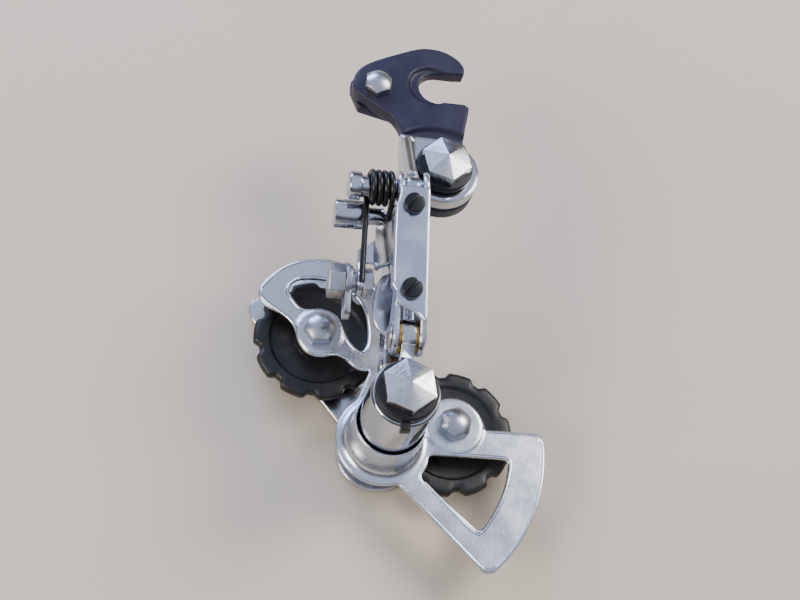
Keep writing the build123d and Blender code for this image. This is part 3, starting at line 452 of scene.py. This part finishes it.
# full-round front of the upper knuckle's ear, stepped from the link's upper pin and ending in a ball
ear_steps = [(3.2, 1.7), (9.46, -1.27), (15.66, -4.2), (18.6, -5.5), (20.3, -6.3)]
ear = [(ear_x, link_top[1] + y, link_top[2] + z) for y, z in ear_steps]
rolled_rim("ear_round", ear, ear_bead, "upper_body", rounded_chrome, "chrome")
ball = bmesh.new()
tip_place = Matrix.Translation(Vector(ear[-1]) * MM)
bmesh.ops.create_icosphere(ball, subdivisions=4, radius=ear_bead * MM, matrix=tip_place)
for face in ball.faces:
    face.smooth = True
ball_mesh = bpy.data.meshes.new("ear_end")
ball.to_mesh(ball_mesh)
ball.free()
put("ear_end", ball_mesh, "upper_body", rounded_chrome, "chrome")


def about_cage(x, y):
    """Point stepped from the cage pivot, just under the outer plate's top."""
    return (cage_pivot[0] + x, cage_pivot[1] + y, plate_rim_z)


def arc(radius, start, end, count=9):
    """Points round the cage pivot at a radius, between two angles in degrees."""
    turns = [math.radians(start + (end - start) * k / (count - 1)) for k in range(count)]
    return [(radius * math.cos(a), radius * math.sin(a)) for a in turns]


# edges of the outer cage plate that carry a bead, in mm from the cage pivot
strap = [(-9.2, 22.2), (-12.4, 24.2), (-16.2, 23.5), (-19.9, 23.7), (-23.4, 27.3), (-25.4, 33.0)]
strap += [(-29.8, 35.9), (-34.3, 39.0), (-35.1, 41.0), (-34.3, 43.5), (-29.7, 48.8), (-25.8, 51.2)]
strap += [(-21.5, 52.6), (-15.9, 52.9), (-8.5, 50.7), (-2.5, 46.1), (0.4, 39.3), (0.9, 31.0), (-0.5, 25.0)]
opening = [(-6.2, 24.2), (-10.0, 27.6), (-12.0, 32.4), (-13.5, 35.2), (-16.3, 36.6), (-19.4, 36.8)]
opening += [(-23.2, 36.2), (-25.8, 38.9), (-28.1, 42.6), (-25.7, 46.1), (-21.5, 47.3), (-15.5, 47.2)]
opening += [(-9.0, 44.1), (-5.0, 38.9), (-3.8, 31.7), (-4.2, 26.2)]
fan = [(29.4, 4.0), (36.0, 4.0), (42.2, 4.0), (44.0, 3.2), (44.8, 1.4)] + arc(44.95, 0, -46.5)
fan += [(29.5, -33.4), (28.0, -34.0), (26.0, -33.0), (20.0, -27.0), (12.0, -19.0), (5.6, -12.7)]
window = [(14.0, -3.05), (20.0, -3.05), (27.0, -3.05), (34.0, -3.05), (35.7, -4.0)] + arc(35.95, -8, -38)
window += [(26.4, -24.6), (24.6, -24.4), (18.0, -17.9), (11.6, -11.4)]
for name, path, closed in (
    ("loop_rim_outer", strap, False),
    ("loop_rim_inner", opening, True),
    ("fan_rim", fan, False),
    ("window_rim", window, False),
):
    rim = [about_cage(*spot) for spot in path]
    rolled_rim(name, rim, plate_bead, "cage_body", edge_highlight_chrome, "cage_chrome", closed)


def pulley(node, phase):
    """Ten-toothed wheel with soft tooth tips, dished faces and a hub, in place of the CAD one."""
    steps = 360
    x, y, middle = pivot[body_of[node]]
    pitch = 36  # degrees between teeth
    flank_foot, flank = 15.6, 6.2  # degrees from a tooth's middle to its foot, and its slope's width
    root, tooth_height = 16.55, 1.45
    # half section from bore to rim: radius, or the tip and a step from it, then half thickness
    profile = [(4.06, 3.8), (5.9, 3.8), (6.2, 3.6), (6.35, 0.95), (6.8, 0.9), (12.9, 0.9), (13.2, 1.0)]
    profile += [(13.7, 1.62), (14.0, 1.7), ("tooth", -1.5, 1.7), ("tooth", -0.75, 1.58)]
    profile += [("tooth", -0.25, 1.25), ("tooth", 0, 0.75)]
    profile += [tuple(row[:-1]) + (-row[-1],) for row in reversed(profile)]
    verts, faces = [], []
    for k in range(steps):
        turn = 2 * math.pi * k / steps
        off = abs((math.degrees(turn) - phase + pitch / 2) % pitch - pitch / 2)
        rise = min(max((flank_foot - off) / flank, 0), 1)
        tip = root + tooth_height * rise * rise * (3 - 2 * rise)
        for row in profile:
            reach = tip + row[1] if row[0] == "tooth" else row[0]
            place = (x + reach * math.cos(turn), y + reach * math.sin(turn), middle + row[-1])
            verts.append(Vector(place) * MM)
    count = len(profile)
    for k in range(steps):
        for i in range(count):
            a, b = k * count + i, k * count + (i + 1) % count
            c, d = (a + count) % len(verts), (b + count) % len(verts)
            faces.append((a, b, d, c))
    mesh = bpy.data.meshes.new(node + "_fine")
    mesh.from_pydata(verts, [], faces)
    bm = bmesh.new()
    bm.from_mesh(mesh)
    bmesh.ops.recalc_face_normals(bm, faces=bm.faces)
    bm.to_mesh(mesh)
    bm.free()
    smooth(mesh, 50)
    put(node + "_fine", mesh, body_of[node], MATERIALS["black_plastic"], "black_plastic", node)


# the angle of one tooth on each, in degrees
pulley("guide_pulley", 78.4)
pulley("tension_pulley", 176.3)

# ---------------------------------------------------------------- stage
floor_half = 12  # metres
floor_gap = 0.0001
floor_mesh = bpy.data.meshes.new("floor")
corners = [(x * floor_half, y * floor_half, 0) for x, y in ((-1, -1), (1, -1), (1, 1), (-1, 1))]
floor_mesh.from_pydata(corners, [], [(0, 1, 2, 3)])
floor = bpy.data.objects.new("floor", floor_mesh)
floor.location.z = cad_low.z - floor_gap
bpy.context.scene.collection.objects.link(floor)
ground = Tree("pale_floor")
shade = ground.mix(ground.noise(8, 2), rgb("cec2ad"), rgb("d5cab8"))
floor_mesh.materials.append(ground.finish(shade, 0.0, 0.85))

# soft room round the object: warm and mid grey low down, pale blue overhead, with cloudy borders
world = bpy.data.worlds.new("studio")
bpy.context.scene.world = world
world.use_nodes = True
wt = world.node_tree
background = wt.nodes["Background"]
coordinate = wt.nodes.new("ShaderNodeTexCoord")
split = wt.nodes.new("ShaderNodeSeparateXYZ")
wt.links.new(coordinate.outputs["Generated"], split.inputs[0])
cloud = wt.nodes.new("ShaderNodeTexNoise")
wt.links.new(coordinate.outputs["Generated"], cloud.inputs["Vector"])
cloud.inputs["Scale"].default_value = 2.6
cloud.inputs["Detail"].default_value = 1.5
drift = wt.nodes.new("ShaderNodeMath")
drift.operation = "MULTIPLY_ADD"
wt.links.new(cloud.outputs["Fac"], drift.inputs[0])
drift.inputs[1].default_value = 0.5
wt.links.new(split.outputs["Z"], drift.inputs[2])
ramp = wt.nodes.new("ShaderNodeValToRGB")
wt.links.new(drift.outputs[0], ramp.inputs[0])
ramp.color_ramp.elements[0].position = 0.0
ramp.color_ramp.elements[0].color = rgb("8f8a84")
ramp.color_ramp.elements[1].position = 1.0
ramp.color_ramp.elements[1].color = rgb("d3def8")
for place, code in ((0.3, "8a8682"), (0.5, "5e5c5e"), (0.65, "626269"), (0.85, "9095a4")):
    stop = ramp.color_ramp.elements.new(place)
    stop.color = rgb(code)
wt.links.new(ramp.outputs[0], background.inputs["Color"])
background.inputs["Strength"].default_value = 1.0


def softbox(name, place, aim, size, power, color):
    """Area light facing a point."""
    data = bpy.data.lights.new(name, "AREA")
    data.shape = "RECTANGLE"
    data.size, data.size_y = size
    data.energy = power
    data.color = color
    lamp = bpy.data.objects.new(name, data)
    lamp.location = place
    lamp.rotation_euler = (Vector(aim) - Vector(place)).to_track_quat("-Z", "Y").to_euler()
    bpy.context.scene.collection.objects.link(lamp)


centre = (-0.005, -0.05, -0.02)  # about the middle of the object, in metres
softbox("window", (-0.45, 0.85, 0.55), centre, (0.7, 0.4), 12, (0.48, 0.60, 1.0))
softbox("overhead", (0.75, 0.35, 0.85), centre, (0.5, 0.5), 11, (1.0, 0.96, 0.90))
softbox("side", (-0.85, -0.45, 0.6), centre, (0.5, 0.4), 8, (1.0, 0.92, 0.82))

# the photograph's viewpoint
camera_place = Vector((-56.2, -192.5, 239.0)) * MM
camera_data = bpy.data.cameras.new("camera")
camera_data.sensor_width = 36
camera_data.lens = 47.25
camera_data.clip_start = 0.01
camera = bpy.data.objects.new("camera", camera_data)
right = Vector((0.982, 0.0, 0.189)).normalized()
look = Vector((0.168, 0.455, -0.874))
up = right.cross(look).normalized()
look = up.cross(right).normalized()
facing = Matrix((right, up, -look)).transposed().to_4x4()
camera.matrix_world = Matrix.Translation(camera_place) @ facing
bpy.context.scene.collection.objects.link(camera)
bpy.context.scene.camera = camera

bpy.context.view_layer.update()
